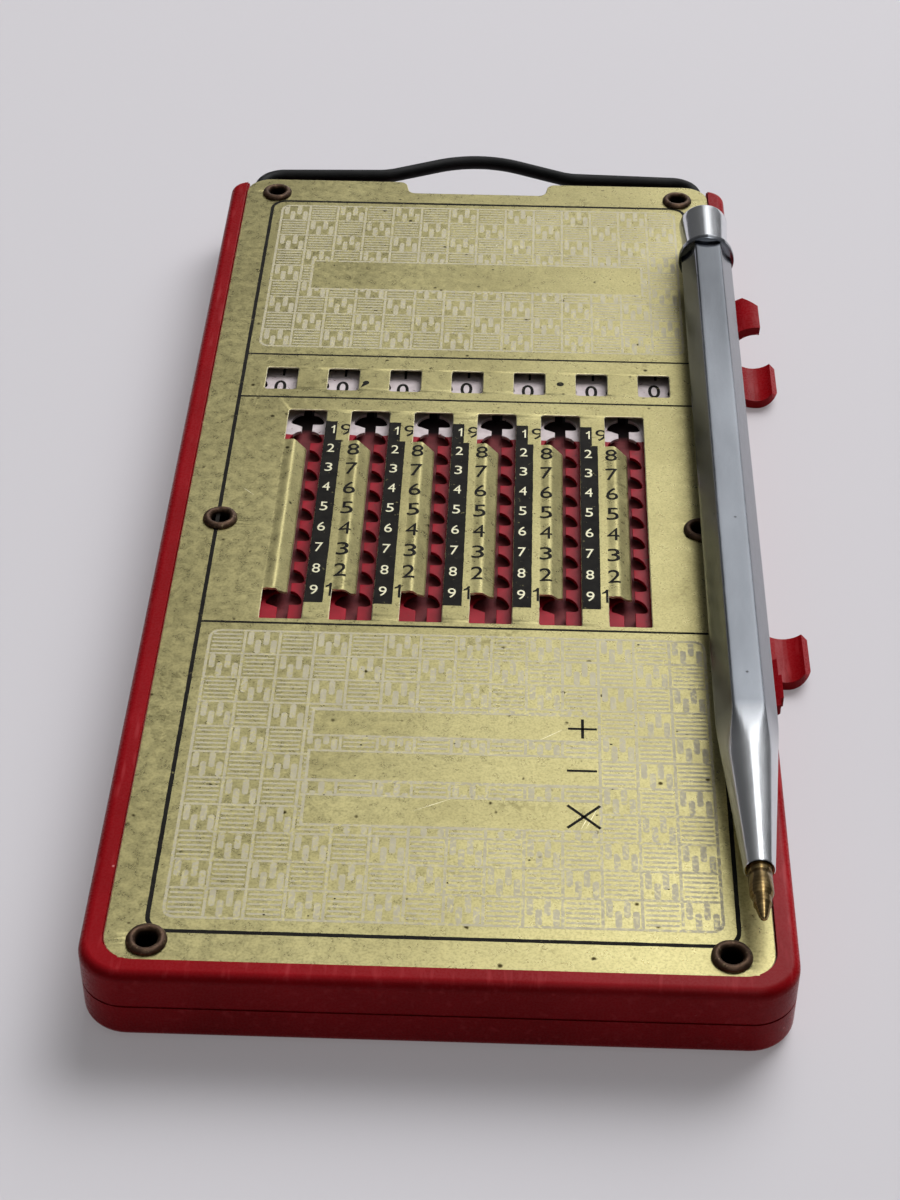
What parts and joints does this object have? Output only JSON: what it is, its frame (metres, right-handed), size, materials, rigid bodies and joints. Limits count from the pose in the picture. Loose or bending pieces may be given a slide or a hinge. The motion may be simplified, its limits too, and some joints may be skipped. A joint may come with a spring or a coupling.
{
  "type": "slide adder",
  "caption": "Flat pocket slide adder in a red plastic case, with a gold face plate, notched number slides, a black wire clearing bar and a loose chrome pen.",
  "frame": {"origin": "on the flat back of the case, midway between the long sides and between the end eyelets", "axes": "+Z out of the face, +Y along the case towards the open end with the clearing bar, +X towards the pen clips"},
  "size_m": [0.0694, 0.146, 0.0148],
  "materials": {
    "case_plastic": "glossy red moulded plastic, scuffed",
    "inner_plastic": "brown-red moulded plastic",
    "felt": "felt",
    "gold_plate": "gold anodised sheet, printed in black and grey",
    "eyelet_brass": "aged rolled brass",
    "slide_paint": "sheet painted red, white at the upper end",
    "black_wire": "black lacquered wire",
    "plain_steel": "plain steel",
    "chrome": "worn chrome plate",
    "tip_brass": "turned brass",
    "refill_plastic": "plastic tube"
  },
  "bodies": {
    "case": {"lower_case": "case_plastic", "upper_case": "case_plastic", "guide_plate": "inner_plastic", "brake_strip": "felt", "face_plate": "gold_plate", "eyelets": "eyelet_brass"},
    "slide_body_1": {"slide_1": "slide_paint"},
    "slide_body_2": {"slide_2": "slide_paint"},
    "slide_body_3": {"slide_3": "slide_paint"},
    "slide_body_4": {"slide_4": "slide_paint"},
    "slide_body_5": {"slide_5": "slide_paint"},
    "slide_body_6": {"slide_6": "slide_paint"},
    "slide_body_7": {"slide_7": "slide_paint"},
    "clearing": {"clearing_bar": "black_wire", "clearing_lifter": "plain_steel"},
    "pen": {"pen_barrel": "chrome", "pen_spring": "plain_steel"},
    "pen_inner": {"pen_crown": "chrome", "pen_refill": "refill_plastic", "pen_tip": "tip_brass"}
  },
  "joints": [
    {"name": "slide_1_draw", "type": "slide", "parent": "case", "child": "slide_body_1", "axis": [0, -1, 0], "range_m": [0, 0.03215]},
    {"name": "slide_2_draw", "type": "slide", "parent": "case", "child": "slide_body_2", "axis": [0, -1, 0], "range_m": [0, 0.03215]},
    {"name": "slide_3_draw", "type": "slide", "parent": "case", "child": "slide_body_3", "axis": [0, -1, 0], "range_m": [0, 0.03215]},
    {"name": "slide_4_draw", "type": "slide", "parent": "case", "child": "slide_body_4", "axis": [0, -1, 0], "range_m": [0, 0.03215]},
    {"name": "slide_5_draw", "type": "slide", "parent": "case", "child": "slide_body_5", "axis": [0, -1, 0], "range_m": [0, 0.03215]},
    {"name": "slide_6_draw", "type": "slide", "parent": "case", "child": "slide_body_6", "axis": [0, -1, 0], "range_m": [0, 0.03215]},
    {"name": "slide_7_draw", "type": "slide", "parent": "case", "child": "slide_body_7", "axis": [0, -1, 0], "range_m": [0, 0.03215]},
    {"name": "clearing_pull", "type": "slide", "parent": "case", "child": "clearing", "axis": [0, -1, 0], "range_m": [-0.033, 0]},
    {"name": "pen_lift", "type": "slide", "parent": "case", "child": "pen", "axis": [0, 0, 1], "range_m": [0, 0.04]},
    {"name": "pen_press", "type": "slide", "parent": "pen", "child": "pen_inner", "axis": [0, 1, 0], "range_m": [0, 0.004]}
  ]
}
